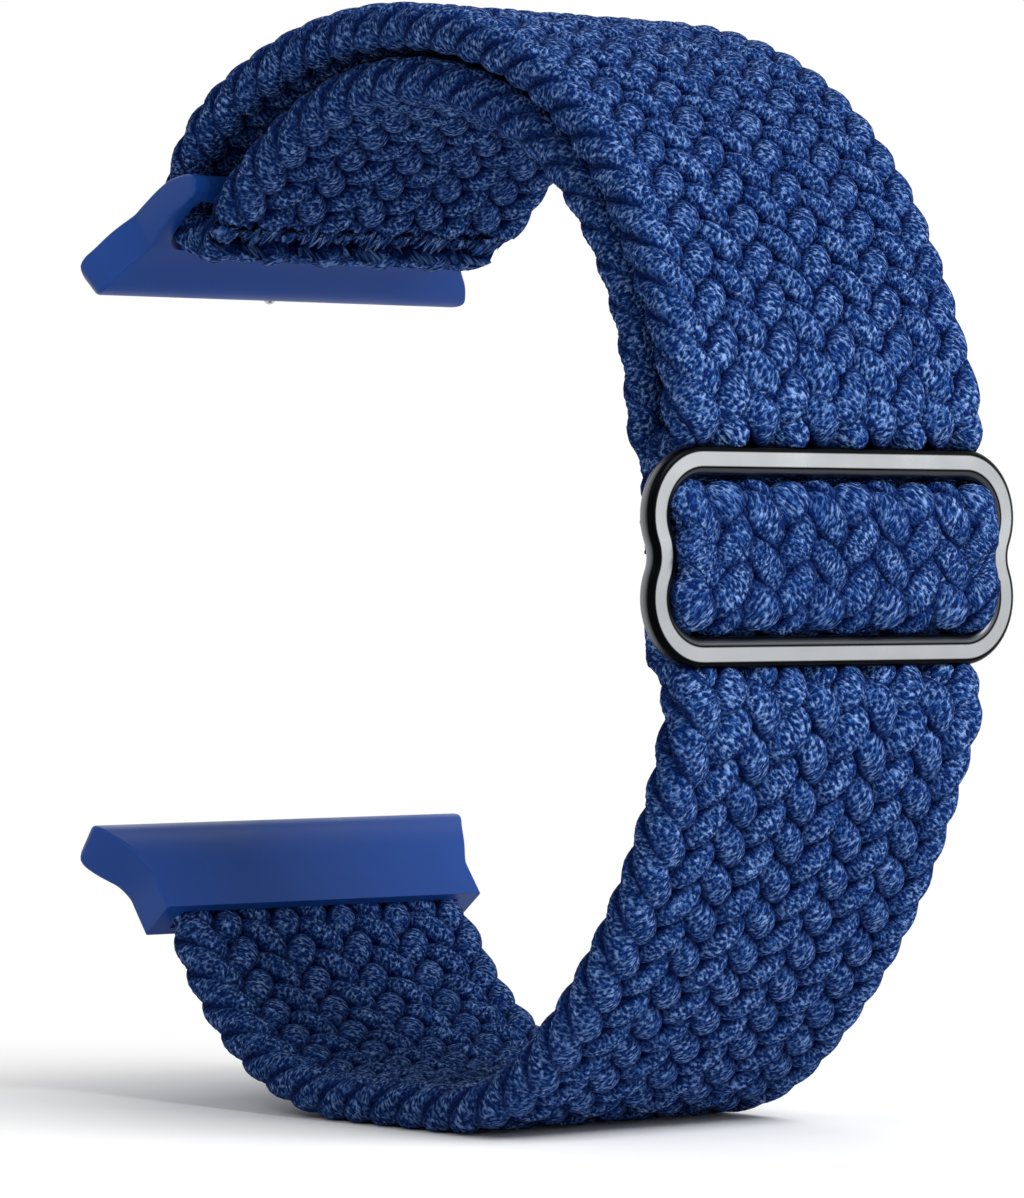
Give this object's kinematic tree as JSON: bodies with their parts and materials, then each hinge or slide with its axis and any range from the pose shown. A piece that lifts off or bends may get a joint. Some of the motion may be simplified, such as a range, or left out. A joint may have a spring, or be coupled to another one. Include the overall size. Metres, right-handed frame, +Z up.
{
  "type": "watch strap",
  "caption": "Braided elastic watch strap: a doubled flat braid loop with a sliding metal adjuster and moulded lug connectors, for wearing a watch on the wrist.",
  "frame": {"origin": "centre of the bounding box's bottom, on the surface that the strap stands on", "axes": "+X along the strap's width, -Y from the open side towards the slider, +Z up from the lower connector to the upper one"},
  "size_m": [0.031, 0.0602, 0.0709],
  "materials": {
    "braid": "matte",
    "thread": "matte",
    "connector": "satin",
    "slider": "polished",
    "catch_steel": "satin",
    "catch_brass": "satin"
  },
  "bodies": {
    "strap": {"braid_lower_stretch": "braid", "braid_bottom_run": "braid", "braid_front_lower": "braid", "braid_front_upper": "braid", "braid_outer_top": "braid", "braid_fold": "braid", "braid_inner_top": "braid", "braid_inner_tail": "braid"},
    "slider": {"slider_frame": "slider", "braid_slider_crown": "braid", "braid_sewn_end": "braid", "end_stitching": "thread"},
    "upper_connector_body": {"upper_connector": "connector", "upper_plunger_sleeve": "catch_brass", "upper_plunger_spring": "catch_steel"},
    "upper_catch": {"upper_plunger": "catch_steel"},
    "lower_connector_body": {"lower_connector": "connector", "lower_plunger_sleeve": "catch_brass", "lower_plunger_spring": "catch_steel", "braid_moulded_end": "braid"},
    "lower_catch": {"lower_plunger": "catch_steel"}
  },
  "joints": [
    {"name": "slider_travel", "type": "hinge", "parent": "strap", "child": "slider", "pos_m": [0, 0.01323, 0.03592], "axis": [-1, 0, 0], "range_deg": [-12, 12], "deforming": ["braid_front_lower", "braid_front_upper", "braid_inner_tail"]},
    {"name": "upper_connector_swivel", "type": "hinge", "parent": "strap", "child": "upper_connector_body", "pos_m": [0, 0.02109, 0.06005], "axis": [-1, 0, 0], "range_deg": [-15, 15]},
    {"name": "lower_connector_stretch", "type": "slide", "parent": "strap", "child": "lower_connector_body", "axis": [0, 0.6101, 0.7923], "range_m": [0, 0.008], "stiffness_N_per_m": 60, "deforming": ["braid_lower_stretch"]},
    {"name": "upper_plunger_travel", "type": "slide", "parent": "upper_connector_body", "child": "upper_catch", "axis": [0, -0.6428, 0.766], "range_m": [0, 0.0006], "stiffness_N_per_m": 100, "springref_m": -0.0005, "deforming": ["upper_plunger_spring"]},
    {"name": "lower_plunger_travel", "type": "slide", "parent": "lower_connector_body", "child": "lower_catch", "axis": [0, -0.7997, -0.6004], "range_m": [0, 0.0006], "stiffness_N_per_m": 100, "springref_m": -0.0005, "deforming": ["lower_plunger_spring"]}
  ]
}
